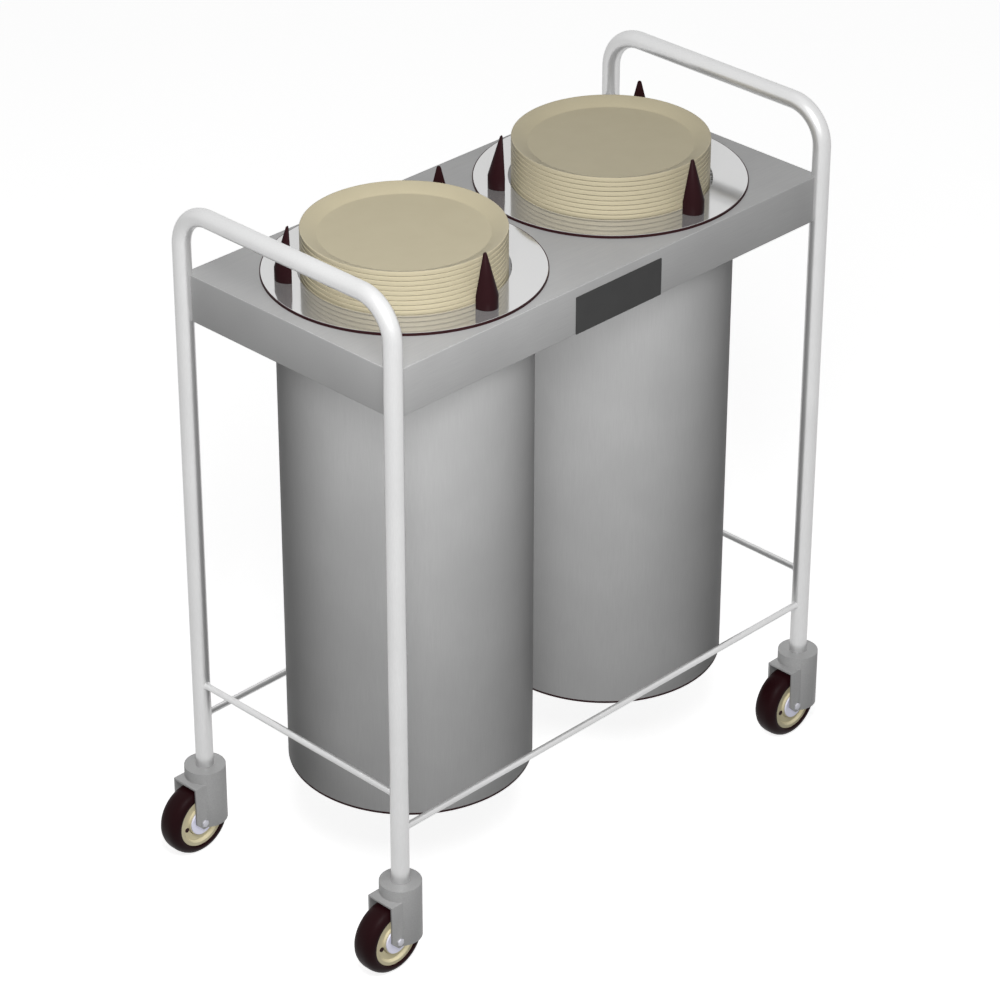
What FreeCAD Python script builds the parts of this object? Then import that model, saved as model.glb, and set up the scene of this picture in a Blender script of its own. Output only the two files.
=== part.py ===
import FreeCAD, Part

import math
import os

# A two-stack plate dispenser cart. Sizes are in millimetres. The floor is z = 0, X runs along
# the cart, the front is -Y, and the origin is on the floor under the middle of the frame.

# End hoops: each is one bent tube, two legs and a handle
HOOP_TUBE_R = 12.7
HOOP_WALL = 1.6
HANDLE_RISE = 96.0          # the handle's centre line above the deck
HOOP_BEND_R = 55.0
BEND_SECTIONS = 4           # round sections that a bend is lofted through

# Deck: a folded sheet pan, upside down, with two round holes
DECK_HEIGHT = 906.0
DECK_DEPTH = 68.0
DECK_END_INSET = 2.0        # the deck's ends stand this much inside the leg axes
DECK_SHEET = 1.5
DECK_RETURN = 16.0          # lip folded inwards along the bottom of the aprons

# Rods welded between the legs
ROD_R = 4.75
END_BAR_Z = 267.5
LONG_RAIL_Z = 213.4

# Blank plate on the front apron
BADGE_LENGTH = 164.0
BADGE_HEIGHT = 54.5
BADGE_THICKNESS = 1.2
BADGE_OFFSET = 3.0          # along X from the middle

# Plates
PLATE_R = 138.2
PLATE_HEIGHT = 15.0
PLATE_PITCH = 6.95          # from one plate to the next in the stack
PLATES_PER_STACK = 12
STACK_RISE = 64.1           # the top rim above the deck

# Dispenser: a closed can hung by its flange in a hole of the deck
LIFT_ROOM = 32.7            # from the plates to the can's wall, for the bars and springs
CAN_WALL = 1.2
CAN_GAP = 50.4              # between the two cans
CAN_SIDE_GAP = 26.4         # from a can to the leg axes, along Y
CAN_END_GAP = 27.4          # from a can to the end hoop's tube, along X
CAN_FLOOR_Z = 155.6
HOLE_CLEARANCE = 2.9        # the deck's hole round the can
FLANGE_LAP = 16.9           # the flange reaches this much past the can
FLANGE_THICKNESS = 3.9      # the polished ring and the seal under it
OPENING_CLEARANCE = 2.8     # the flange's opening round the plates

# Guide posts on the flange: half round, with the flat side to the plates
POST_COUNT = 3
POST_FIRST_ANGLE = -92.3
POST_SETBACK = 10.4         # from the flange's opening to the posts' flat sides
POST_R = 17.0
POST_TIP_R = 2.5
POST_STRAIGHT = 22.0
POST_RISE = 80.0            # the tips above the deck
POST_FACETS = 8             # flats round the half-round back

# Lift inside the can: a carrier on three square bars, hung on three springs
BAR_SIZE = 8.0
BLOCK_SIZE = 20.0
BLOCK_WALL_GAP = 2.9        # from the blocks to the can's wall
BLOCK_CLEARANCE = 0.4       # round the bar, each side
CARRIER_SHEET = 3.0
CARRIER_DROP = 190.0        # from the platform down to the spring arms
PLATFORM_INSET = 58.2       # the plates overhang the six-sided platform's corners
CARRIER_ARM = 30.0
COLUMN_SIZE = 40.0
COLUMN_WALL = 3.0
SPRING_R = 9.0
SPRING_WALL_GAP = 9.9       # from the springs to the can's wall
SPRING_ARM_END = 10.0       # the arm reaches this much past the spring's axis
SPRING_SEAT_GAP = 0.3

# Casters, all trailing towards -X
WHEEL_R = 53.0
TYRE_WIDTH = 38.0
CASTER_TRAIL = 24.5
BARREL_R = 29.5
BARREL_TOP = 132.0
BARREL_BOTTOM = 43.0
YOKE_SHEET = 3.0
YOKE_SIDE_GAP = 1.2         # between the tyre and the yoke's cheeks
YOKE_TOP = 115.0
YOKE_REACH = 14.0           # the cheeks reach this much past the axle
YOKE_CORNER = 12.0          # cut off the cheeks' lower corner
CROWN_GAP = 3.6             # between the tyre and the crown above it
LEG_GAP = 0.4
AXLE_R = 4.0
RUNNING_FIT = 0.05          # radial clearance on the axle and on the stem
AXLE_HEAD_FLATS = 12.0
AXLE_HEAD = 5.0
STEM_LENGTH = 58.0          # the part that turns in the leg

# Sizes that follow from these
CAN_R = PLATE_R + LIFT_ROOM + CAN_WALL
STACK_X = CAN_R + CAN_GAP / 2
LEG_X = STACK_X + CAN_R + CAN_END_GAP + HOOP_TUBE_R
LEG_Y = CAN_R + CAN_SIDE_GAP
LEG_BOTTOM = BARREL_TOP + LEG_GAP
LEG_BORE_R = HOOP_TUBE_R - HOOP_WALL
HANDLE_Z = DECK_HEIGHT + HANDLE_RISE
FLANGE_R = CAN_R + FLANGE_LAP
FLANGE_TOP = DECK_HEIGHT + FLANGE_THICKNESS
OPENING_R = PLATE_R + OPENING_CLEARANCE
POST_FLAT_R = OPENING_R + POST_SETBACK
DECK_HOLE_R = CAN_R + HOLE_CLEARANCE
STACK_TOP = DECK_HEIGHT + STACK_RISE
STACK_BOTTOM = STACK_TOP - PLATE_HEIGHT - (PLATES_PER_STACK - 1) * PLATE_PITCH
SPRING_ARM_TOP = STACK_BOTTOM - CARRIER_DROP
CAN_BORE_R = CAN_R - CAN_WALL
BLOCK_ARM_R = CAN_BORE_R - BLOCK_WALL_GAP - BLOCK_SIZE
BAR_CIRCLE_R = BLOCK_ARM_R + BLOCK_SIZE / 2
SPRING_CIRCLE_R = CAN_BORE_R - SPRING_WALL_GAP - SPRING_R
PLATFORM_R = PLATE_R - PLATFORM_INSET
YOKE_INNER = TYRE_WIDTH / 2 + YOKE_SIDE_GAP
YOKE_OUTER = YOKE_INNER + YOKE_SHEET
CROWN_Z = 2 * WHEEL_R + CROWN_GAP

FULL_TURN = 360.0
HEXAGON = 6
STACKS = {"a": -1, "b": 1}
CORNERS = {
    "front_left": (-1, -1),
    "front_right": (1, -1),
    "rear_left": (-1, 1),
    "rear_right": (1, 1),
}


def point(x, y, z):
    return FreeCAD.Vector(x, y, z)


UP = point(0, 0, 1)
ORIGIN = point(0, 0, 0)


def rod(radius, start, end):
    """Round rod from one point to another."""
    axis = end.sub(start)
    return Part.makeCylinder(radius, axis.Length, start, axis)


def block(low, high):
    """Box between two opposite corners."""
    size = high.sub(low)
    return Part.makeBox(size.x, size.y, size.z, low)


def outlined(corners):
    """Flat face inside an outline."""
    return Part.Face(Part.makePolygon(corners + corners[:1]))


def placed(shape, angle, offset):
    """Copy of a shape turned about Z and then moved."""
    copy = shape.copy()
    copy.rotate(ORIGIN, UP, angle)
    copy.translate(offset)
    return copy


def fused(shapes):
    """One clean solid from touching shapes."""
    return shapes[0].fuse(shapes[1:]).removeSplitter()


def six_sided(radius, start, along):
    """Hexagonal prism with its corners at a radius. It runs from the start, along a vector."""
    turn = FreeCAD.Rotation(along, FULL_TURN / HEXAGON)
    spoke = point(0, 0, radius) if along.z == 0 else point(radius, 0, 0)
    corners = []
    for _ in range(HEXAGON):
        corners.append(start + spoke)
        spoke = turn.multVec(spoke)
    return outlined(corners).extrude(along)


def hoop_bend(x, side):
    """Quarter bend between a leg and the handle, lofted through round sections."""
    centre = point(x, side * (LEG_Y - HOOP_BEND_R), HANDLE_Z - HOOP_BEND_R)
    sections = []
    for i in range(BEND_SECTIONS):
        angle = math.radians(90.0 * i / (BEND_SECTIONS - 1))
        outwards = point(0, side * math.cos(angle), math.sin(angle))
        along = point(0, -side * math.sin(angle), math.cos(angle))
        middle = centre + outwards * HOOP_BEND_R
        sections.append(Part.Wire(Part.makeCircle(HOOP_TUBE_R, middle, along)))
    return Part.makeLoft(sections, True, True)


def end_hoop(x):
    """Bent tube: leg, quarter bend, handle, quarter bend, leg. The legs are bored up to the bends."""
    bend_y = LEG_Y - HOOP_BEND_R
    pieces = [rod(HOOP_TUBE_R, point(x, -bend_y, HANDLE_Z), point(x, bend_y, HANDLE_Z))]
    bores = []
    for side in (-1, 1):
        foot = point(x, side * LEG_Y, LEG_BOTTOM)
        shoulder = point(x, side * LEG_Y, HANDLE_Z - HOOP_BEND_R)
        pieces += [rod(HOOP_TUBE_R, foot, shoulder), hoop_bend(x, side)]
        bores.append(rod(LEG_BORE_R, foot, shoulder))
    return pieces[0].fuse(pieces[1:]).cut(bores)


def leg_cutters():
    """The four legs' outer surfaces, which cope the rods and notch the deck."""
    cutters = []
    for side_x, side_y in CORNERS.values():
        x = side_x * LEG_X
        y = side_y * LEG_Y
        cutters.append(rod(HOOP_TUBE_R, point(x, y, 0), point(x, y, HANDLE_Z)))
    return cutters


def end_bar(side):
    """Cross rod between the legs of one hoop, coped to them."""
    start = point(side * LEG_X, -LEG_Y, END_BAR_Z)
    end = point(side * LEG_X, LEG_Y, END_BAR_Z)
    return rod(ROD_R, start, end).cut(leg_cutters())


def long_rail(side):
    """Rod along the cart from hoop to hoop, coped to the legs."""
    start = point(-LEG_X, side * LEG_Y, LONG_RAIL_Z)
    end = point(LEG_X, side * LEG_Y, LONG_RAIL_Z)
    return rod(ROD_R, start, end).cut(leg_cutters())


def deck():
    """Folded pan: top, four aprons with a return lip, two holes, corners notched round the legs."""
    half_x = LEG_X - DECK_END_INSET
    bottom = DECK_HEIGHT - DECK_DEPTH
    inner_x = half_x - DECK_SHEET
    inner_y = LEG_Y - DECK_SHEET
    mouth_x = half_x - DECK_RETURN
    mouth_y = LEG_Y - DECK_RETURN
    lip_top = bottom + DECK_SHEET
    pan = block(point(-half_x, -LEG_Y, bottom), point(half_x, LEG_Y, DECK_HEIGHT))
    room = block(point(-inner_x, -inner_y, lip_top), point(inner_x, inner_y, DECK_HEIGHT - DECK_SHEET))
    mouth = block(point(-mouth_x, -mouth_y, bottom), point(mouth_x, mouth_y, lip_top))
    cutters = [room, mouth] + leg_cutters()
    for side in STACKS.values():
        centre = point(side * STACK_X, 0, bottom)
        cutters.append(Part.makeCylinder(DECK_HOLE_R, DECK_DEPTH, centre))
    return pan.cut(cutters)


def badge_plate():
    """Blank plate on the front apron, its lower edge flush with the apron's."""
    bottom = DECK_HEIGHT - DECK_DEPTH
    low = point(BADGE_OFFSET - BADGE_LENGTH / 2, -LEG_Y - BADGE_THICKNESS, bottom)
    high = point(BADGE_OFFSET + BADGE_LENGTH / 2, -LEG_Y, bottom + BADGE_HEIGHT)
    return block(low, high)


def flange(side):
    """Flat ring, with its seal, that hangs the can on the deck."""
    centre = point(side * STACK_X, 0, DECK_HEIGHT)
    ring = Part.makeCylinder(FLANGE_R, FLANGE_THICKNESS, centre)
    return ring.cut(Part.makeCylinder(OPENING_R, FLANGE_THICKNESS, centre))


def dispenser_can(side):
    """Thin can with a closed floor, open at the flange."""
    floor = point(side * STACK_X, 0, CAN_FLOOR_Z)
    outside = Part.makeCylinder(CAN_R, DECK_HEIGHT - CAN_FLOOR_Z, floor)
    room = Part.makeCylinder(CAN_BORE_R, DECK_HEIGHT, floor.add(point(0, 0, CAN_WALL)))
    return outside.cut(room)


def round_stack(shape, side, first_angle):
    """Three copies of a shape, made on the stack's +X side, round one stack."""
    step = FULL_TURN / POST_COUNT
    centre = point(side * STACK_X, 0, 0)
    return [placed(shape, first_angle + step * i, centre) for i in range(POST_COUNT)]


def half_round(radius, height):
    """Corners of a faceted half-round outline, its flat side towards the plates."""
    corners = []
    for i in range(POST_FACETS + 1):
        angle = math.radians(180.0 * i / POST_FACETS - 90.0)
        corners.append(point(POST_FLAT_R + radius * math.cos(angle), radius * math.sin(angle), height))
    return corners


def guide_posts(side):
    """Half-round moulded posts, flat towards the plates, that taper to a tip."""
    foot = half_round(POST_R, FLANGE_TOP)
    shoulder = half_round(POST_R, DECK_HEIGHT + POST_STRAIGHT)
    tip = half_round(POST_TIP_R, DECK_HEIGHT + POST_RISE)
    faces = [outlined(foot), outlined(tip)]
    for lower, upper in ((foot, shoulder), (shoulder, tip)):
        for i in range(len(lower)):
            faces.append(outlined([lower[i - 1], lower[i], upper[i], upper[i - 1]]))
    post = Part.makeSolid(Part.makeShell(faces))
    return Part.makeCompound(round_stack(post, side, POST_FIRST_ANGLE))


def guide_bars(side):
    """Square bars from the can's floor to the flange."""
    half = BAR_SIZE / 2
    low = point(BAR_CIRCLE_R - half, -half, CAN_FLOOR_Z + CAN_WALL)
    bar = block(low, point(BAR_CIRCLE_R + half, half, DECK_HEIGHT))
    return Part.makeCompound(round_stack(bar, side, POST_FIRST_ANGLE))


def slide_blocks(side):
    """Moulded blocks that run on the bars, at the platform and at the spring arms."""
    half = BLOCK_SIZE / 2
    hole = BAR_SIZE / 2 + BLOCK_CLEARANCE
    blocks = []
    for top in (STACK_BOTTOM, SPRING_ARM_TOP):
        low = point(BAR_CIRCLE_R - half, -half, top - BLOCK_SIZE)
        body = block(low, point(BAR_CIRCLE_R + half, half, top))
        low = point(BAR_CIRCLE_R - hole, -hole, top - BLOCK_SIZE)
        body = body.cut(block(low, point(BAR_CIRCLE_R + hole, hole, top)))
        blocks += round_stack(body, side, POST_FIRST_ANGLE)
    return Part.makeCompound(blocks)


def plate_carrier(side):
    """Three-armed platform on a square column, with guide arms and spring arms at its foot."""
    half_arm = CARRIER_ARM / 2
    half_column = COLUMN_SIZE / 2
    bore = half_column - COLUMN_WALL
    foot = SPRING_ARM_TOP - CARRIER_SHEET
    spring_end = SPRING_CIRCLE_R + SPRING_ARM_END
    half_step = FULL_TURN / POST_COUNT / 2
    pieces = [six_sided(PLATFORM_R, point(0, 0, STACK_BOTTOM), point(0, 0, -CARRIER_SHEET))]
    low = point(-half_column, -half_column, foot)
    pieces.append(block(low, point(half_column, half_column, STACK_BOTTOM - CARRIER_SHEET)))
    for top in (STACK_BOTTOM, SPRING_ARM_TOP):
        arm = block(point(0, -half_arm, top - CARRIER_SHEET), point(BLOCK_ARM_R, half_arm, top))
        pieces += round_stack(arm, 0, POST_FIRST_ANGLE)
    arm = block(point(0, -half_arm, foot), point(spring_end, half_arm, SPRING_ARM_TOP))
    pieces += round_stack(arm, 0, POST_FIRST_ANGLE + half_step)
    room = block(point(-bore, -bore, foot), point(bore, bore, STACK_BOTTOM - CARRIER_SHEET))
    return placed(fused(pieces).cut(room), 0, point(side * STACK_X, 0, 0))


def lift_springs(side):
    """Space of the three extension springs, from the flange down to the spring arms."""
    low = point(SPRING_CIRCLE_R, 0, SPRING_ARM_TOP + SPRING_SEAT_GAP)
    spring = six_sided(SPRING_R, low, point(0, 0, DECK_HEIGHT - low.z))
    half_step = FULL_TURN / POST_COUNT / 2
    return Part.makeCompound(round_stack(spring, side, POST_FIRST_ANGLE + half_step))


def plate_stack(side):
    """Nested plates as one solid, from the foot of the lowest to the top one's rim."""
    return Part.makeCylinder(PLATE_R, STACK_TOP - STACK_BOTTOM, point(side * STACK_X, 0, STACK_BOTTOM))


def caster_fork():
    """Stem and swivel barrel, slotted for the wheel, with a folded channel behind and a riveted axle."""
    back = -CASTER_TRAIL - YOKE_REACH
    under = YOKE_TOP - YOKE_SHEET
    barrel = rod(BARREL_R, point(0, 0, BARREL_BOTTOM), point(0, 0, BARREL_TOP))
    channel = block(point(back, -YOKE_OUTER, BARREL_BOTTOM), point(0, YOKE_OUTER, YOKE_TOP))
    corner = [e for e in channel.Edges if all(v.X == back and v.Z == BARREL_BOTTOM for v in e.Vertexes)]
    channel = channel.makeChamfer(YOKE_CORNER, corner)
    room = block(point(back, -YOKE_INNER, BARREL_BOTTOM), point(-BARREL_R, YOKE_INNER, under))
    slot = block(point(-BARREL_R, -YOKE_INNER, BARREL_BOTTOM), point(BARREL_R, YOKE_INNER, CROWN_Z))
    body = barrel.fuse(channel).cut([room, slot])
    stem = rod(LEG_BORE_R - RUNNING_FIT, point(0, 0, CROWN_Z), point(0, 0, LEG_BOTTOM + STEM_LENGTH))
    near = point(-CASTER_TRAIL, -YOKE_OUTER, WHEEL_R)
    far = point(-CASTER_TRAIL, YOKE_OUTER, WHEEL_R)
    head_r = AXLE_HEAD_FLATS / 2 / math.cos(math.pi / HEXAGON)
    near_head = six_sided(head_r, near, point(0, -AXLE_HEAD, 0))
    far_head = six_sided(head_r, far, point(0, AXLE_HEAD, 0))
    return fused([body, stem, rod(AXLE_R, near, far), near_head, far_head])


def caster_wheel():
    """Wheel with its tread moulded on, bored for the axle and laid on it."""
    near = point(-CASTER_TRAIL, -TYRE_WIDTH / 2, WHEEL_R)
    far = point(-CASTER_TRAIL, TYRE_WIDTH / 2, WHEEL_R)
    return rod(WHEEL_R, near, far).cut(rod(AXLE_R + RUNNING_FIT, near, far))


def save(shape, name):
    """One file per piece, named for it."""
    shape.exportStep("parts/" + name + ".step")


os.makedirs("parts", exist_ok=True)

for name, side in (("left", -1), ("right", 1)):
    save(end_hoop(side * LEG_X), "end_frame_" + name)
    save(end_bar(side), "end_bar_" + name)
for name, side in (("front", -1), ("rear", 1)):
    save(long_rail(side), "long_rail_" + name)
save(deck(), "deck")
save(badge_plate(), "badge_plate")
for name, side in STACKS.items():
    save(dispenser_can(side), "dispenser_can_" + name)
    save(flange(side), "flange_" + name)
    save(guide_posts(side), "guide_posts_" + name)
    save(guide_bars(side), "guide_bars_" + name)
    save(lift_springs(side), "lift_springs_" + name)
    save(plate_carrier(side), "plate_carrier_" + name)
    save(slide_blocks(side), "slide_blocks_" + name)
    save(plate_stack(side), "plate_stack_" + name)

for corner, (side_x, side_y) in CORNERS.items():
    leg = point(side_x * LEG_X, side_y * LEG_Y, 0)
    save(placed(caster_fork(), 0, leg), "caster_fork_" + corner)
    save(placed(caster_wheel(), 0, leg), "caster_wheel_" + corner)
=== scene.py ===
import math

import bmesh
import bpy
from mathutils import Matrix, Vector


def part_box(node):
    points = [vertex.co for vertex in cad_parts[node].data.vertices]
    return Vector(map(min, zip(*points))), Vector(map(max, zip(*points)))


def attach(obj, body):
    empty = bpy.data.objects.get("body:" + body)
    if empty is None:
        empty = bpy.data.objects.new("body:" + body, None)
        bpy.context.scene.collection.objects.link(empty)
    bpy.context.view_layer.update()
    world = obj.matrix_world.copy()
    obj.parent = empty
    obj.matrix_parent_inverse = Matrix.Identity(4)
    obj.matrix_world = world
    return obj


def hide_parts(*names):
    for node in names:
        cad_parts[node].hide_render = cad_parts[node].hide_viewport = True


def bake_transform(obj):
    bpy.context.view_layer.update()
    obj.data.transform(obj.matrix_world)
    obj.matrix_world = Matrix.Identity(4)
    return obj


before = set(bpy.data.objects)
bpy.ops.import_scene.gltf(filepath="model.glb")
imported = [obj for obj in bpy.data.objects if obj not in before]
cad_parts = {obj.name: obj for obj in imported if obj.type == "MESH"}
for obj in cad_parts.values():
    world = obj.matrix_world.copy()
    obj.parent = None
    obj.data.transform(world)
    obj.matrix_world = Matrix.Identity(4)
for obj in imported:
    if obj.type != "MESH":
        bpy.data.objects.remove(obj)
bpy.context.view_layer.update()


# ---- Studio ----
# A white floor that runs out of sight, soft lamps, and the camera, which looks down on the cart's
# near corner. The floor's white is seen only by the camera, by mirrors and through glass.

MM = 0.001
FLOOR_HALF = 40.0
FLOOR_BOUNCE = "#a4a4a4"
FLOOR_SEEN = "#f4f4f4"
FLOOR_GLOW = 0.87
WORLD_FILL = 0.07
MIRROR_WHITE = 1.0


def linear(code):
    """Linear RGBA from an sRGB hex colour."""
    values = [int(code[i:i + 2], 16) / 255 for i in (1, 3, 5)]
    parts = [v / 12.92 if v <= 0.04045 else ((v + 0.055) / 1.055) ** 2.4 for v in values]
    return (*parts, 1.0)


def add_node(tree, kind, settings=None, links=None):
    """A shader node with its settings, and its inputs linked from other nodes' outputs."""
    node = tree.nodes.new("ShaderNode" + kind)
    for key, value in (settings or {}).items():
        if isinstance(key, int) or key in node.inputs:
            node.inputs[key].default_value = value
        else:
            setattr(node, key, value)
    for key, source in (links or {}).items():
        tree.links.new(source, node.inputs[key])
    return node


def new_tree(material):
    """A material's empty node tree and its output node."""
    material.use_nodes = True
    material.node_tree.nodes.clear()
    return material.node_tree, add_node(material.node_tree, "OutputMaterial")


def studio_floor():
    """Pale board: it takes a soft shadow, and glows just enough for the camera to see white."""
    bm = bmesh.new()
    bmesh.ops.create_grid(bm, x_segments=1, y_segments=1, size=FLOOR_HALF)
    mesh = bpy.data.meshes.new("studio_floor")
    bm.to_mesh(mesh)
    bm.free()
    floor = bpy.data.objects.new("studio_floor", mesh)
    bpy.context.scene.collection.objects.link(floor)
    material = bpy.data.materials.new("white_board")
    tree, output = new_tree(material)
    path = add_node(tree, "LightPath")
    colour = add_node(tree, "Mix", {"data_type": "RGBA"}, {"Factor": path.outputs["Is Camera Ray"]})
    colour.inputs[6].default_value = linear(FLOOR_BOUNCE)
    colour.inputs[7].default_value = linear(FLOOR_SEEN)
    paint = add_node(tree, "BsdfDiffuse", {}, {"Color": colour.outputs[2]})
    seen = add_node(tree, "Math", {"operation": "ADD", "use_clamp": True},
                    {0: path.outputs["Is Camera Ray"], 1: path.outputs["Is Transmission Ray"]})
    both = add_node(tree, "Math", {"operation": "ADD", "use_clamp": True},
                    {0: seen.outputs[0], 1: path.outputs["Is Glossy Ray"]})
    strength = add_node(tree, "Math", {"operation": "MULTIPLY", 1: FLOOR_GLOW}, {0: both.outputs[0]})
    glow = add_node(tree, "Emission", {"Color": linear("#ffffff")}, {"Strength": strength.outputs[0]})
    total = add_node(tree, "AddShader", {}, {0: paint.outputs[0], 1: glow.outputs[0]})
    tree.links.new(total.outputs[0], output.inputs["Surface"])
    mesh.materials.append(material)
    return floor


def studio_world():
    """White behind everything, and an even fill light."""
    world = bpy.data.worlds.new("studio_world")
    world.use_nodes = True
    tree = world.node_tree
    tree.nodes.clear()
    output = add_node(tree, "OutputWorld")
    path = add_node(tree, "LightPath")
    fill = add_node(tree, "Background", {"Color": linear("#ffffff"), "Strength": WORLD_FILL})
    white = add_node(tree, "Background", {"Color": linear("#ffffff"), "Strength": 1.0})
    mirror = add_node(tree, "Background", {"Color": linear("#ffffff"), "Strength": MIRROR_WHITE})
    seen = add_node(tree, "Math", {"operation": "ADD", "use_clamp": True},
                    {0: path.outputs["Is Camera Ray"], 1: path.outputs["Is Transmission Ray"]})
    lit = add_node(tree, "MixShader", {}, {0: path.outputs["Is Glossy Ray"],
                                           1: fill.outputs[0], 2: mirror.outputs[0]})
    mix = add_node(tree, "MixShader", {}, {0: seen.outputs[0], 1: lit.outputs[0], 2: white.outputs[0]})
    tree.links.new(mix.outputs[0], output.inputs["Surface"])
    bpy.context.scene.world = world


def studio_lamp(name, direction, distance, size, power, shadow=True):
    """A square soft lamp that faces the middle of the cart, and isn't itself seen."""
    target = Vector((0, 0, 0.6))
    data = bpy.data.lights.new(name, "AREA")
    data.size = size
    data.energy = power
    data.use_shadow = shadow
    lamp = bpy.data.objects.new(name, data)
    lamp.visible_camera = False
    lamp.location = target + Vector(direction).normalized() * distance
    lamp.rotation_euler = (lamp.location - target).to_track_quat("Z", "Y").to_euler()
    bpy.context.scene.collection.objects.link(lamp)
    return lamp


def studio_camera():
    """The camera, at the place that the photograph was taken from."""
    right = Vector((0.70267965, -0.71150524, 0.00126514))
    up = Vector((0.3560211, 0.35314337, 0.86518133))
    back = Vector((-0.61602783, -0.6074949, 0.50145754))
    data = bpy.data.cameras.new("camera")
    data.sensor_width = 36.0
    data.lens = 137.025
    data.clip_end = 200.0
    camera = bpy.data.objects.new("camera", data)
    turn = Matrix((right, up, back)).transposed()
    camera.matrix_world = Matrix.Translation((-3.29562, -3.23214, 3.14968)) @ turn.to_4x4()
    bpy.context.scene.collection.objects.link(camera)
    bpy.context.scene.camera = camera


board = studio_floor()
studio_world()
CAMERA_SIDE = (-1.19, -1.23, 1.6)
CAMERA_SIDE_DISTANCE = 2.34
studio_lamp("key_lamp", CAMERA_SIDE, CAMERA_SIDE_DISTANCE, 0.9, 27)
studio_lamp("top_lamp", (0.1, 0.1, 1.0), 3.0, 2.0, 1.5)
not_on_board = bpy.data.collections.new("not_on_board")
not_on_board.objects.link(board)
not_on_board.collection_objects[0].light_linking.link_state = "EXCLUDE"
face_lamp = studio_lamp("face_lamp", CAMERA_SIDE, CAMERA_SIDE_DISTANCE, 0.5, 54, shadow=False)
back_lamp = studio_lamp("back_lamp", (0.7, 0.7, 0.0), 3.5, 0.6, 80)
for lamp in (face_lamp, back_lamp):
    lamp.visible_glossy = False
    lamp.light_linking.receiver_collection = not_on_board
studio_camera()
bpy.context.scene.view_settings.view_transform = "Standard"


# ---- End frames ----
# Each end of the cart is one bent stainless tube, two legs and a handle. It is polished to a
# bright satin, and its ends stand on the casters.

TUBE_R = 12.7 * MM
TUBE_BORE_R = 11.1 * MM
TUBE_BEND_R = 55.0 * MM
SOCKET_DEPTH = 60.0 * MM
TUBE_SIDES = 48
BEND_STEPS = 20


def piece_object(name, bm, material, body, replaced=(), sharp=35.0):
    """Finishes a piece: outward faces, smooth shading with sharp edges kept, material and body."""
    bmesh.ops.remove_doubles(bm, verts=bm.verts, dist=0.002 * MM)
    bmesh.ops.recalc_face_normals(bm, faces=bm.faces)
    # The recalculation can turn a closed piece inside out, which its volume's sign tells.
    if bm.calc_volume(signed=True) < 0:
        bmesh.ops.reverse_faces(bm, faces=bm.faces)
    mesh = bpy.data.meshes.new(name)
    bm.to_mesh(mesh)
    bm.free()
    mesh.shade_smooth()
    mesh.set_sharp_from_angle(angle=math.radians(sharp))
    mesh.materials.append(material)
    piece = bpy.data.objects.new(name, mesh)
    bpy.context.scene.collection.objects.link(piece)
    if body:
        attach(piece, body)
    if replaced:
        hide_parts(*replaced)
    return piece


def satin_steel(name, colour, dark, roughness, grain_mm, metallic, gloss=0.5):
    """Stainless steel, finely ground: soft reflections, streaked along the grain."""
    material = bpy.data.materials.new(name)
    tree, output = new_tree(material)
    place = add_node(tree, "TexCoord")
    scale = [1 / (size * MM) for size in grain_mm]
    stretch = add_node(tree, "Mapping", {"Scale": scale}, {"Vector": place.outputs["Object"]})
    grain = add_node(tree, "TexNoise", {"Scale": 1.0, "Detail": 4.0, "Roughness": 0.6},
                     {"Vector": stretch.outputs[0]})
    cloud = add_node(tree, "TexNoise", {"Scale": 9.0, "Detail": 2.0}, {"Vector": place.outputs["Object"]})
    blend = add_node(tree, "Math", {"operation": "MULTIPLY"}, {0: grain.outputs[0], 1: cloud.outputs[0]})
    tint = add_node(tree, "MapRange", {"From Min": 0.12, "From Max": 0.4}, {"Value": blend.outputs[0]})
    paint = add_node(tree, "Mix", {"data_type": "RGBA"}, {"Factor": tint.outputs[0]})
    paint.inputs[6].default_value = linear(dark)
    paint.inputs[7].default_value = linear(colour)
    rough = add_node(tree, "MapRange", {"To Min": roughness + 0.06, "To Max": roughness - 0.04},
                     {"Value": grain.outputs[0]})
    bump = add_node(tree, "Bump", {"Strength": 0.12, "Distance": 0.02 * MM}, {"Height": grain.outputs[0]})
    shader = add_node(tree, "BsdfPrincipled", {"Metallic": metallic, "Specular IOR Level": gloss},
                      {"Base Color": paint.outputs[2], "Roughness": rough.outputs[0],
                       "Normal": bump.outputs[0]})
    tree.links.new(shader.outputs[0], output.inputs["Surface"])
    return material


tube_steel = satin_steel("satin_tube_steel", "#d8d8d8", "#d0d0d0", 0.3, (1.2, 1.2, 12.0), 0.72, 0.4)


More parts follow.
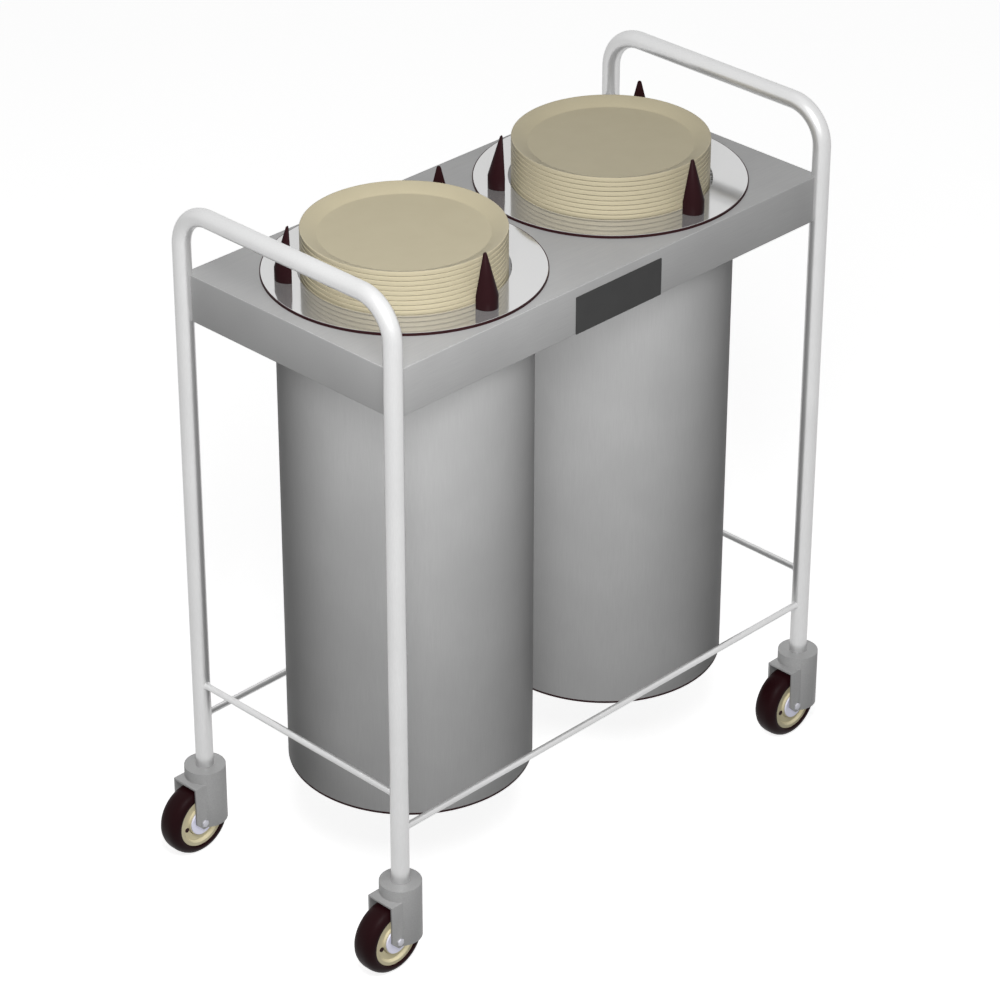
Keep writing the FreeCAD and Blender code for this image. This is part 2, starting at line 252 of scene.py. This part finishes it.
def end_frame(name):
    """Bent tube, from one foot over the handle to the other foot. Each foot is a socket for a stem."""
    low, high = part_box(name)
    x = (low.x + high.x) / 2
    front = low.y + TUBE_R
    rear = high.y - TUBE_R
    top = high.z - TUBE_R
    bm = bmesh.new()

    def pull(edges, vector, growth=1.0, centre=(0, 0, 0)):
        """Extrudes a ring of edges along a vector, and widens or narrows its end about a centre."""
        made = bmesh.ops.extrude_edge_only(bm, edges=edges)["geom"]
        verts = [g for g in made if isinstance(g, bmesh.types.BMVert)]
        bmesh.ops.translate(bm, verts=verts, vec=vector)
        space = Matrix.Translation(-Vector(centre))
        bmesh.ops.scale(bm, verts=verts, vec=(growth, growth, 1), space=space)
        return [g for g in made if isinstance(g, bmesh.types.BMEdge)]

    def bend(edges, centre):
        """Turns a ring of edges a quarter round, about the line along X through a centre."""
        verts = list({vert for edge in edges for vert in edge.verts})
        last = bmesh.ops.spin(bm, geom=verts + edges, cent=centre, axis=(-1, 0, 0),
                              angle=math.pi / 2, steps=BEND_STEPS)["geom_last"]
        return [g for g in last if isinstance(g, bmesh.types.BMEdge)]

    start = bmesh.ops.create_circle(bm, cap_ends=True, segments=TUBE_SIDES, radius=TUBE_BORE_R)["verts"]
    bmesh.ops.translate(bm, verts=start, vec=(x, front, low.z + SOCKET_DEPTH))
    ring = list({edge for vert in start for edge in vert.link_edges})
    ring = pull(ring, (0, 0, -SOCKET_DEPTH))
    ring = pull(ring, (0, 0, 0), TUBE_R / TUBE_BORE_R, (x, front, low.z))
    ring = pull(ring, (0, 0, top - TUBE_BEND_R - low.z))
    ring = bend(ring, (x, front + TUBE_BEND_R, top - TUBE_BEND_R))
    ring = pull(ring, (0, rear - front - 2 * TUBE_BEND_R, 0))
    ring = bend(ring, (x, rear - TUBE_BEND_R, top - TUBE_BEND_R))
    ring = pull(ring, (0, 0, low.z - top + TUBE_BEND_R))
    ring = pull(ring, (0, 0, 0), TUBE_BORE_R / TUBE_R, (x, rear, low.z))
    ring = pull(ring, (0, 0, SOCKET_DEPTH))
    bmesh.ops.holes_fill(bm, edges=ring)
    piece_object(name + "_tube", bm, tube_steel, "cart", [name])


end_frame("end_frame_left")
end_frame("end_frame_right")


# ---- Rods ----
# Thin drawn rods, one across each end and one along each side. Their ends are coped to the legs
# and welded all round.

ROD_R = 4.75 * MM
ROD_SIDES = 24
WELD_R = 6.6 * MM
WELD_LENGTH = 2.6 * MM
WELD_SINK = 0.9 * MM
WELD_FACE = 0.8 * MM
WELD_ROUND = 0.5 * MM
rod_steel = satin_steel("drawn_rod_steel", "#dadada", "#cfcfcf", 0.3, (10.0, 10.0, 1.5), 0.72, 0.4)


def welded_rod(name):
    """Rod between two legs, with a small weld collar at each end."""
    low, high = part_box(name)
    size = high - low
    along = Vector((1, 0, 0)) if size.x > size.y else Vector((0, 1, 0))
    middle = (low + high) / 2
    half = size.dot(along) / 2 + WELD_SINK
    leg_face = size.dot(along) / 2 - WELD_FACE
    turn = Vector((0, 0, 1)).rotation_difference(along).to_matrix().to_4x4()
    stations = [
        (-half, WELD_R), (-leg_face, WELD_R - WELD_ROUND), (WELD_LENGTH - leg_face, ROD_R),
        (leg_face - WELD_LENGTH, ROD_R), (leg_face, WELD_R - WELD_ROUND), (half, WELD_R),
    ]
    bm = bmesh.new()
    rings = []
    for distance, radius in stations:
        cap = abs(distance) == half
        ring = bmesh.ops.create_circle(bm, cap_ends=cap, segments=ROD_SIDES, radius=radius)["verts"]
        bmesh.ops.translate(bm, verts=ring, vec=(0, 0, distance))
        rings.append(list({edge for vert in ring for edge in vert.link_edges}))
    for first, second in zip(rings, rings[1:]):
        bmesh.ops.bridge_loops(bm, edges=first + second)
    bmesh.ops.transform(bm, matrix=Matrix.Translation(middle) @ turn, verts=bm.verts)
    piece_object(name + "_rod", bm, rod_steel, "cart", [name], 50.0)


for rod_name in ("end_bar_left", "end_bar_right", "long_rail_front", "long_rail_rear"):
    welded_rod(rod_name)


# ---- Deck ----
# One sheet of stainless, folded down on four sides into a shallow pan and welded at the corners
# to the legs. The folds are rounded, and the faces are brushed along the cart.

FOLD_R = 1.0 * MM
SHORTEST_FOLD = 100.0 * MM
deck_steel = satin_steel("brushed_sheet_steel", "#989898", "#909090", 0.45, (40.0, 0.8, 0.8), 0.08, 0.2)


def merged_copy(node):
    """A bmesh of a CAD node, its loose triangles merged and its flat faces made whole."""
    bm = bmesh.new()
    bm.from_mesh(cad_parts[node].data)
    bmesh.ops.remove_doubles(bm, verts=bm.verts, dist=0.005 * MM)
    bmesh.ops.dissolve_limit(bm, angle_limit=math.radians(0.5), verts=bm.verts, edges=bm.edges)
    return bm


def deck():
    """The pan, with its outer folds rounded."""
    low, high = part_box("deck")
    bm = merged_copy("deck")
    near = 0.01 * MM
    folds = []
    for edge in bm.edges:
        heights = [vert.co.z for vert in edge.verts]
        places = [vert.co for vert in edge.verts]
        outside = all(min(abs(p.x - low.x), abs(p.x - high.x), abs(p.y - low.y), abs(p.y - high.y)) < near
                      for p in places)
        if outside and min(abs(heights[0] - high.z), abs(heights[0] - low.z)) < near:
            if abs(heights[0] - heights[1]) < near and edge.calc_length() > SHORTEST_FOLD:
                folds.append(edge)
    bmesh.ops.bevel(bm, geom=folds, offset=FOLD_R, offset_type="OFFSET", affect="EDGES",
                    segments=4, profile=0.5, material=-1, clamp_overlap=False)
    piece_object("deck_pan", bm, deck_steel, "cart", ["deck"], 25.0)


deck()


# ---- Name plate ----
# A small charcoal plate on the front apron, held by adhesive. It is bare, with a raised rim.

def moulded_plastic(name, colour, dark, roughness, grain_mm, bump_mm, gloss=0.5):
    """Moulded plastic or rubber: an even colour with a fine mottled skin."""
    material = bpy.data.materials.new(name)
    tree, output = new_tree(material)
    place = add_node(tree, "TexCoord")
    grain = add_node(tree, "TexNoise", {"Scale": 1 / (grain_mm * MM), "Detail": 3.0},
                     {"Vector": place.outputs["Object"]})
    cloud = add_node(tree, "TexNoise", {"Scale": 30.0, "Detail": 2.0}, {"Vector": place.outputs["Object"]})
    paint = add_node(tree, "Mix", {"data_type": "RGBA"}, {"Factor": cloud.outputs[0]})
    paint.inputs[6].default_value = linear(dark)
    paint.inputs[7].default_value = linear(colour)
    bump = add_node(tree, "Bump", {"Strength": 0.3, "Distance": bump_mm * MM}, {"Height": grain.outputs[0]})
    rough = add_node(tree, "MapRange", {"To Min": roughness - 0.05, "To Max": roughness + 0.05},
                     {"Value": grain.outputs[0]})
    shader = add_node(tree, "BsdfPrincipled", {"Metallic": 0.0, "IOR": 1.5, "Specular IOR Level": gloss},
                      {"Base Color": paint.outputs[2], "Normal": bump.outputs[0],
                       "Roughness": rough.outputs[0]})
    tree.links.new(shader.outputs[0], output.inputs["Surface"])
    return material


badge_plastic = moulded_plastic("charcoal_plate_plastic", "#3b3b3b", "#343434", 0.5, 0.6, 0.05, 0.1)
# The rim and the step together stay under the corners' radius, or the corners would cross over.
BADGE_CORNER_R = 1.2 * MM
BADGE_RIM = 0.7 * MM
BADGE_STEP = 0.3 * MM
BADGE_SINK = 0.5 * MM


def badge():
    """Plate with rounded corners and a raised rim round a sunken face."""
    low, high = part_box("badge_plate")
    size = high - low
    bm = bmesh.new()
    bmesh.ops.create_cube(bm, size=1.0)
    bmesh.ops.scale(bm, verts=bm.verts, vec=size)
    bmesh.ops.translate(bm, verts=bm.verts, vec=(low + high) / 2)
    across = [e for e in bm.edges if abs((e.verts[0].co - e.verts[1].co).y) > size.y / 2]
    bmesh.ops.bevel(bm, geom=across, offset=BADGE_CORNER_R, affect="EDGES", segments=6, profile=0.5,
                    material=-1)
    face = [f for f in bm.faces if f.normal.y < -0.9]
    bmesh.ops.inset_region(bm, faces=face, thickness=BADGE_RIM, depth=0)
    face = [f for f in bm.faces if f.normal.y < -0.9 and f.calc_area() > size.x * size.z / 2]
    bmesh.ops.inset_region(bm, faces=face, thickness=BADGE_STEP, depth=-BADGE_SINK)
    piece_object("badge_blank", bm, badge_plastic, "cart", ["badge_plate"], 30.0)


badge()


# ---- Dispenser cans ----
# A deep can of satin sheet metal hangs from each hole. Its foot is a little rounded, with a dark
# band round it that is painted shade along the foot's edge, and the inside is the same bare metal.

CAN_R = 172.1 * MM
CAN_WALL = 1.2 * MM
CAN_STEPS = 160
CAN_FLOOR_RISE = 0.4 * MM
# The dark band round the foot is painted shade along the can's bottom edge.
CAN_SHADE_BAND = 3.2 * MM
SHADE_BAND_DEPTH = 0.5 * MM
SHADE_BAND_PROUD = 0.05 * MM
can_steel = satin_steel("satin_can_steel", "#a8a8a8", "#a1a1a1", 0.55, (1.0, 1.0, 30.0), 0.03, 0.05)
# Dark rubber that paints shade: the band round each can's foot, the line round each flange's edge and the
# disc in each hub.
painted_shade_rubber = moulded_plastic("dark_painted_shade_rubber", "#2b1316", "#231012", 0.5, 0.8, 0.05, 0.1)
STACKS = ("a", "b")


def turned(profile, steps, centre, closed=False, turn=2 * math.pi):
    """A bmesh turned about the vertical line through centre, from (radius, height) points in metres."""
    bm = bmesh.new()
    verts = [bm.verts.new((centre.x + radius, centre.y, height)) for radius, height in profile]
    pairs = list(zip(verts, verts[1:]))
    if closed:
        pairs.append((verts[-1], verts[0]))
    edges = [bm.edges.new(pair) for pair in pairs]
    bmesh.ops.spin(bm, geom=verts + edges, cent=(centre.x, centre.y, 0), axis=(0, 0, 1), angle=turn,
                   steps=steps, use_merge=turn == 2 * math.pi, use_duplicate=False)
    bmesh.ops.remove_doubles(bm, verts=bm.verts, dist=0.001 * MM)
    return bm


def stack_centre(stack):
    """The upright axis of a dispenser, on the floor."""
    low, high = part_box("dispenser_can_" + stack)
    return Vector(((low.x + high.x) / 2, (low.y + high.y) / 2, 0))


def dispenser_can(stack):
    """Can with a rounded foot and a flat floor, and the dark band of painted shade round its foot."""
    name = "dispenser_can_" + stack
    low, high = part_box(name)
    centre = stack_centre(stack)
    foot = low.z
    inner = CAN_R - CAN_WALL
    profile = [
        (0, foot + CAN_FLOOR_RISE), (inner - 8 * MM, foot + CAN_FLOOR_RISE), (inner - 5 * MM, foot),
        (CAN_R - 1.5 * MM, foot), (CAN_R - 0.4 * MM, foot + 0.6 * MM), (CAN_R, foot + 1.8 * MM),
        (CAN_R, high.z), (inner, high.z), (inner, foot + CAN_WALL), (0, foot + CAN_WALL),
    ]
    bm = turned(profile, CAN_STEPS, centre)
    piece_object("can_" + stack, bm, can_steel, "cart", [name], 30.0)
    # Dark band round the foot: painted shade along the bottom edge.
    strip = [
        (CAN_R - SHADE_BAND_DEPTH, foot), (CAN_R + SHADE_BAND_PROUD, foot), (CAN_R + SHADE_BAND_PROUD, foot + CAN_SHADE_BAND),
        (CAN_R - SHADE_BAND_DEPTH, foot + CAN_SHADE_BAND),
    ]
    bm = turned(strip, CAN_STEPS, centre, closed=True)
    piece_object("can_shade_band_" + stack, bm, painted_shade_rubber, "cart")


for stack in STACKS:
    dispenser_can(stack)


# ---- Gaskets and flanges ----
# Each can hangs by a flat ring polished like a mirror. A dark rubber ring seals it to the deck and
# stands just past the ring's edge, where its dark rubber is painted shade as a thin line round it.

RING_STEPS = 192


def mirror_steel():
    """Stainless steel buffed to a mirror: sharp reflections and hairline scratches."""
    material = bpy.data.materials.new("mirror_flange_steel")
    tree, output = new_tree(material)
    place = add_node(tree, "TexCoord")
    hair = add_node(tree, "TexNoise", {"Scale": 400.0, "Detail": 2.0}, {"Vector": place.outputs["Object"]})
    rough = add_node(tree, "MapRange", {"To Min": 0.06, "To Max": 0.12}, {"Value": hair.outputs[0]})
    shader = add_node(tree, "BsdfPrincipled", {"Base Color": linear("#cdcdcd"), "Metallic": 0.82},
                      {"Roughness": rough.outputs[0]})
    tree.links.new(shader.outputs[0], output.inputs["Surface"])
    return material


flange_steel = mirror_steel()
FLANGE_R = 189.0 * MM
FLANGE_OPENING_R = 141.0 * MM
FLANGE_SHEET = 0.6 * MM
FLANGE_EDGE_R = 0.25 * MM
# The gasket reaches past the flange, so that its dark rubber shows as painted shade round the flange's
# edge.
GASKET_OUTER_R = 190.3 * MM
GASKET_INNER_R = 175.0 * MM


def flange(stack):
    """Flat ring with softly rounded edges."""
    name = "flange_" + stack
    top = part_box(name)[1].z
    soft = FLANGE_EDGE_R
    under = top - FLANGE_SHEET
    profile = [
        (FLANGE_OPENING_R, under), (FLANGE_R - soft, under), (FLANGE_R, under + soft),
        (FLANGE_R, top - soft), (FLANGE_R - soft, top), (FLANGE_OPENING_R + soft, top),
        (FLANGE_OPENING_R, top - soft),
    ]
    bm = turned(profile, RING_STEPS, stack_centre(stack), closed=True)
    piece_object("flange_ring_" + stack, bm, flange_steel, "cart", [name], 40.0)


def gasket(stack):
    """Soft ring under the flange; its edge past the flange is a thin line of painted shade."""
    name = "flange_" + stack
    low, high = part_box(name)
    top = high.z - FLANGE_SHEET
    profile = [
        (GASKET_INNER_R, low.z), (GASKET_OUTER_R, low.z), (GASKET_OUTER_R, top), (GASKET_INNER_R, top),
    ]
    bm = turned(profile, RING_STEPS, stack_centre(stack), closed=True)
    piece_object("gasket_ring_" + stack, bm, painted_shade_rubber, "cart", [name])


for stack in STACKS:
    flange(stack)
    gasket(stack)


# ---- Guide posts ----
# Six moulded posts of dark brown plastic stand on the flanges. Each is a deep half round, with its
# flat side to the plates, and tapers to a blunt tip.

POST_STRAIGHT = 18.1 * MM
POST_R = 16.3 * MM
POST_DEPTH = 20.4 * MM
POST_TIP_R = 2.5 * MM
POST_FLAT_R = 153.0 * MM
POST_EDGE_R = 0.7 * MM
POST_SIDES = 40
POST_ANGLES = (-91.8, 28.2, 148.2)
post_plastic = moulded_plastic("dark_brown_post_plastic", "#231013", "#1e0d0f", 0.4, 0.7, 0.04, 0.05)


def guide_posts(stack):
    """Three posts round a stack."""
    name = "guide_posts_" + stack
    low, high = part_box(name)
    centre = stack_centre(stack)
    profile = [
        (0, low.z), (POST_R, low.z), (POST_R, low.z + POST_STRAIGHT),
        (POST_TIP_R + 0.3 * MM, high.z - 1.6 * MM), (POST_TIP_R - 0.8 * MM, high.z - 0.3 * MM),
        (0, high.z),
    ]
    for i, angle in enumerate(POST_ANGLES):
        bm = turned(profile, POST_SIDES, Vector((0, 0, 0)), turn=math.pi)
        rim = [edge for edge in bm.edges if edge.is_boundary]
        bmesh.ops.holes_fill(bm, edges=rim)
        bmesh.ops.recalc_face_normals(bm, faces=bm.faces)
        bmesh.ops.scale(bm, verts=bm.verts, vec=(1, POST_DEPTH / POST_R, 1))
        flat = [e for e in bm.edges if e.calc_face_angle(0) > math.radians(60)]
        bmesh.ops.bevel(bm, geom=flat, offset=POST_EDGE_R, affect="EDGES", segments=3, profile=0.5,
                        material=-1)
        turn = Matrix.Rotation(math.radians(-90), 4, "Z")
        out = Matrix.Translation((POST_FLAT_R, 0, 0))
        around = Matrix.Rotation(math.radians(angle), 4, "Z")
        bmesh.ops.transform(bm, matrix=Matrix.Translation(centre) @ around @ out @ turn, verts=bm.verts)
        piece_object(f"post_{stack}_{i + 1}", bm, post_plastic, "cart", [name], 30.0)


for stack in STACKS:
    guide_posts(stack)


# ---- Plates ----
# Round plates with a wide sloping rim and a flat well, in a cream glaze. They are nested, foot in
# well, and ride on the carrier.

PLATE_PITCH = 6.95 * MM
PLATE_HEIGHT = 15.0 * MM
PLATE_STEPS = 128


def cream_glaze():
    """Glazed ware: a warm cream with faint mottling under a soft gloss."""
    material = bpy.data.materials.new("cream_glaze")
    tree, output = new_tree(material)
    place = add_node(tree, "TexCoord")
    cloud = add_node(tree, "TexNoise", {"Scale": 25.0, "Detail": 3.0}, {"Vector": place.outputs["Object"]})
    paint = add_node(tree, "Mix", {"data_type": "RGBA"}, {"Factor": cloud.outputs[0]})
    paint.inputs[6].default_value = linear("#9c947d")
    paint.inputs[7].default_value = linear("#a29a83")
    ripple = add_node(tree, "Bump", {"Strength": 0.08, "Distance": 0.1 * MM}, {"Height": cloud.outputs[0]})
    shader = add_node(tree, "BsdfPrincipled", {"Roughness": 0.45, "IOR": 1.5, "Specular IOR Level": 0.2},
                      {"Base Color": paint.outputs[2], "Normal": ripple.outputs[0]})
    tree.links.new(shader.outputs[0], output.inputs["Surface"])
    return material


plate_glaze = cream_glaze()
PLATE_PROFILE = [
    (0, 1.6), (76, 1.6), (77.5, 0.3), (79, 0), (83, 0), (84.5, 0.4), (87, 1.5), (114.6, 1.6),
    (117.6, 2.6), (134.4, 8.15), (136.2, 8.6), (136.9, 9.2), (136.9, 10.0), (137.2, 13.6),
    (136.9, 14.6), (136.0, 15.0), (135.2, 14.8), (116.4, 6.4), (115.0, 5.5), (113.0, 5.2), (0, 5.1),
]


def plates(stack):
    """The nested plates, from the carrier up to the level of the top rim."""
    name = "plate_stack_" + stack
    low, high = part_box(name)
    centre = stack_centre(stack)
    count = round((high.z - low.z - PLATE_HEIGHT) / PLATE_PITCH) + 1
    for i in range(count):
        base = low.z + i * PLATE_PITCH
        profile = [(radius * MM, base + rise * MM) for radius, rise in PLATE_PROFILE]
        bm = turned(profile, PLATE_STEPS, centre)
        piece_object(f"plate_{stack}_{i + 1}", bm, plate_glaze, "carrier_" + stack,
                     [name], 40.0)


for stack in STACKS:
    plates(stack)


# ---- Lift ----
# Inside each can a carrier of zinc-plated sheet runs on three square bars with nylon blocks. It
# hangs on three coil springs, hooked under the flange.

zinc_steel = satin_steel("zinc_plated_steel", "#c4c4c0", "#b2b2ae", 0.35, (3.0, 3.0, 3.0), 0.9)
block_nylon = moulded_plastic("natural_nylon", "#e8e6de", "#dedcd2", 0.5, 0.8, 0.03)
SPRING_R = 7.5 * MM
SPRING_WIRE_R = 1.0 * MM
SPRING_TURNS = 34
SPRING_CIRCLE_R = 152.0 * MM
SPRING_ANGLES = (-32.3, 87.7, 207.7)
WIRE_SIDES = 8
TURN_STEPS = 14


def lift_springs(stack):
    """Three coils round a stack, from the bottom to the top of their part."""
    name = "lift_springs_" + stack
    low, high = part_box(name)
    centre = stack_centre(stack)
    rise = (high.z - low.z - 2 * SPRING_WIRE_R) / SPRING_TURNS
    for i, angle in enumerate(SPRING_ANGLES):
        bm = bmesh.new()
        ring = bmesh.ops.create_circle(bm, cap_ends=True, segments=WIRE_SIDES,
                                       radius=SPRING_WIRE_R)["verts"]
        upright = Matrix.Rotation(math.radians(90), 4, "X")
        bmesh.ops.transform(bm, matrix=Matrix.Translation((SPRING_R, 0, 0)) @ upright, verts=ring)
        bmesh.ops.spin(bm, geom=bm.verts[:] + bm.edges[:] + bm.faces[:], cent=(0, 0, 0), axis=(0, 0, 1),
                       dvec=(0, 0, rise / TURN_STEPS), angle=2 * math.pi * SPRING_TURNS,
                       steps=SPRING_TURNS * TURN_STEPS)
        turn = math.radians(angle)
        foot = Vector((math.cos(turn) * SPRING_CIRCLE_R, math.sin(turn) * SPRING_CIRCLE_R, 0))
        foot += Vector((centre.x, centre.y, low.z + SPRING_WIRE_R))
        bmesh.ops.translate(bm, verts=bm.verts, vec=foot)
        spring = piece_object(f"spring_{stack}_{i + 1}", bm, zinc_steel, None, [name], 60.0)
        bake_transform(spring)


def dress(node, material):
    """Gives a CAD node that keeps its own mesh a material."""
    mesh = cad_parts[node].data
    mesh.materials.clear()
    mesh.materials.append(material)


for stack in STACKS:
    lift_springs(stack)
    dress("plate_carrier_" + stack, zinc_steel)
    dress("guide_bars_" + stack, zinc_steel)
    dress("slide_blocks_" + stack, block_nylon)


# ---- Caster forks and bolts ----
# A cast swivel barrel turns on a stem under each leg. A folded channel welded to it holds the
# axle bolt behind it, so that the wheel trails.

CORNERS = ("front_left", "front_right", "rear_left", "rear_right")
caster_zinc = satin_steel("zinc_cast_caster", "#a0a0a0", "#949494", 0.42, (2.0, 2.0, 2.0), 0.25, 0.3)
bolt_zinc = satin_steel("bright_zinc_bolt", "#cfcfd6", "#c0c0c8", 0.35, (1.0, 1.0, 1.0), 0.3)
HEAD_R = 5.8 * MM
HEAD_HEIGHT = 2.6 * MM
HEAD_SEAT = 0.6 * MM
HEAD_CHAMFER = 0.8 * MM
HEAD_OVERLAP = 0.1 * MM
FORK_HALF = 23.2 * MM
FORK_EDGE_R = 0.6 * MM
AXLE_END_OUT = 4.5 * MM
AXLE_END_REACH = 7.5 * MM


def fork(corner):
    """Barrel and yoke with their sharp edges rounded a little, and a low seat for each bolt end."""
    node = "caster_fork_" + corner
    low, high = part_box("caster_wheel_" + corner)
    axle = (low + high) / 2
    bm = merged_copy(node)
    for vert in bm.verts:
        out = abs(vert.co.y - axle.y)
        if out > FORK_HALF + AXLE_END_OUT and abs(vert.co.x - axle.x) < AXLE_END_REACH:
            side = math.copysign(FORK_HALF + HEAD_SEAT, vert.co.y - axle.y)
            bmesh.ops.translate(bm, verts=[vert], vec=(0, axle.y + side - vert.co.y, 0))
    sharp = [e for e in bm.edges if e.calc_face_angle(0) > math.radians(35)]
    bmesh.ops.bevel(bm, geom=sharp, offset=FORK_EDGE_R, affect="EDGES", segments=2, profile=0.5,
                    material=-1, clamp_overlap=True)
    piece_object("fork_" + corner, bm, caster_zinc, "swivel_" + corner, [node], 30.0)


def bolt_end(corner, side):
    """Six-sided head or nut of the axle bolt, chamfered, on its seat."""
    low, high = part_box("caster_wheel_" + corner)
    axle = (low + high) / 2
    bm = bmesh.new()
    bmesh.ops.create_cone(bm, cap_ends=True, segments=6, radius1=HEAD_R, radius2=HEAD_R, depth=HEAD_HEIGHT)
    bmesh.ops.translate(bm, verts=bm.verts, vec=(0, 0, HEAD_HEIGHT / 2))
    rim = [edge for edge in bm.edges if all(vert.co.z > HEAD_HEIGHT / 2 for vert in edge.verts)]
    bmesh.ops.bevel(bm, geom=rim, offset=HEAD_CHAMFER, affect="EDGES", segments=2, profile=0.5,
                    material=-1)
    lie = Matrix.Rotation(-side * math.pi / 2, 4, "X")
    seat = Vector((0, side * (FORK_HALF + HEAD_SEAT - HEAD_OVERLAP), 0))
    out = Matrix.Translation(axle + seat)
    bmesh.ops.transform(bm, matrix=out @ lie, verts=bm.verts)
    name = ("bolt_head_" if side < 0 else "bolt_nut_") + corner
    piece_object(name, bm, bolt_zinc, "swivel_" + corner, (), 30.0)


for corner in CORNERS:
    fork(corner)
    for side in (-1, 1):
        bolt_end(corner, side)


# ---- Wheels ----
# A soft dark brown tyre with rounded shoulders is pressed on a tan moulded hub. A pale washer
# covers the bearing on each side, and a small dark disc on the hub is painted shade for a small hole.

TYRE_R = 53.0 * MM
TYRE_HALF = 19.0 * MM
TYRE_BORE_R = 38.6 * MM
HUB_HALF = 16.6 * MM
WHEEL_STEPS = 96
# The dark disc on the hub is painted shade for a small hole in the hub's face.
HOLE_SHADE_R = 3.6 * MM
HOLE_SHADE_RISE = 1.0 * MM
HOLE_SHADE_EDGE = 0.3 * MM
HOLE_SHADE_SEAT = 4.2 * MM
HOLE_SHADE_SIDES = 24
HOLE_SHADE_CIRCLE_R = 25.0 * MM
HOLE_SHADE_ANGLE = 193.0
WASHER_R = 20.0 * MM
WASHER_BORE_R = 4.4 * MM
WASHER_THICK = 2.8 * MM
WASHER_EDGE = 0.6 * MM
WASHER_SINK = 0.8 * MM
tyre_rubber = moulded_plastic("brown_tyre_rubber", "#1f0a0d", "#190709", 0.42, 0.9, 0.08, 0.07)
hub_plastic = moulded_plastic("tan_hub_plastic", "#cdc5a6", "#c4bb9c", 0.5, 0.8, 0.04, 0.1)
washer_zinc = satin_steel("pale_bearing_zinc", "#eaeafc", "#dedef0", 0.4, (1.0, 1.0, 1.0), 0.1)


def on_axle(bm, corner):
    """Lays a piece turned about Z on the wheel's axle."""
    low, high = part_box("caster_wheel_" + corner)
    lie = Matrix.Rotation(math.radians(90), 4, "X")
    bmesh.ops.transform(bm, matrix=Matrix.Translation((low + high) / 2) @ lie, verts=bm.verts)
    return bm


def mirrored(half):
    """A closed profile from its outer half: the other half is the same, upside down."""
    return half + [(radius, -height) for radius, height in reversed(half)]


def wheel(corner):
    """Tyre, hub, dark disc of painted hole shade and washers of one caster."""
    zero = Vector((0, 0, 0))
    body = "wheel_" + corner
    node = "caster_wheel_" + corner
    tread = mirrored([
        (TYRE_BORE_R, TYRE_HALF - 2.4 * MM), (TYRE_BORE_R + 0.6 * MM, TYRE_HALF - 0.9 * MM),
        (TYRE_BORE_R + 2 * MM, TYRE_HALF), (44 * MM, TYRE_HALF - 0.5 * MM),
        (47.8 * MM, TYRE_HALF - 2.6 * MM), (50.6 * MM, TYRE_HALF - 5.8 * MM),
        (52.2 * MM, TYRE_HALF - 9.6 * MM), (TYRE_R, TYRE_HALF - 14 * MM),
    ])
    bm = on_axle(turned(tread, WHEEL_STEPS, zero, closed=True), corner)
    piece_object("tyre_ring_" + corner, bm, tyre_rubber, body, [node], 50.0)
    web = mirrored([
        (4.2 * MM, HUB_HALF - 1 * MM), (21 * MM, HUB_HALF - 1 * MM), (22 * MM, HUB_HALF - 4 * MM),
        (31 * MM, HUB_HALF - 4 * MM), (32.5 * MM, HUB_HALF - 1 * MM), (33.5 * MM, HUB_HALF),
        (38.2 * MM, HUB_HALF), (TYRE_BORE_R, HUB_HALF - 0.8 * MM),
    ])
    bm = on_axle(turned(web, WHEEL_STEPS, zero, closed=True), corner)
    piece_object("hub_centre_" + corner, bm, hub_plastic, body, [node], 30.0)
    # A dark disc, raised a little from the hub's sunken face: painted shade for the hole.
    hole_shade = [
        (0, 0), (HOLE_SHADE_R, 0), (HOLE_SHADE_R, HOLE_SHADE_RISE - HOLE_SHADE_EDGE), (HOLE_SHADE_R - HOLE_SHADE_EDGE, HOLE_SHADE_RISE),
        (0, HOLE_SHADE_RISE),
    ]
    bm = turned(hole_shade, HOLE_SHADE_SIDES, zero)
    turn = math.radians(HOLE_SHADE_ANGLE)
    seat = (math.cos(turn) * HOLE_SHADE_CIRCLE_R, math.sin(turn) * HOLE_SHADE_CIRCLE_R, HUB_HALF - HOLE_SHADE_SEAT)
    bmesh.ops.translate(bm, verts=bm.verts, vec=seat)
    piece_object("grease_hole_shade_" + corner, on_axle(bm, corner), painted_shade_rubber, body, (), 30.0)
    near = HUB_HALF - WASHER_SINK
    for side, start in (("front", near), ("rear", -near - WASHER_THICK)):
        end = start + WASHER_THICK
        disc = [
            (WASHER_BORE_R, start), (WASHER_R - WASHER_EDGE, start), (WASHER_R, start + WASHER_EDGE),
            (WASHER_R, end - WASHER_EDGE), (WASHER_R - WASHER_EDGE, end), (WASHER_BORE_R, end),
        ]
        bm = on_axle(turned(disc, WHEEL_STEPS, zero, closed=True), corner)
        piece_object(f"washer_{side}_{corner}", bm, washer_zinc, "swivel_" + corner, (), 40.0)


for corner in CORNERS:
    wheel(corner)
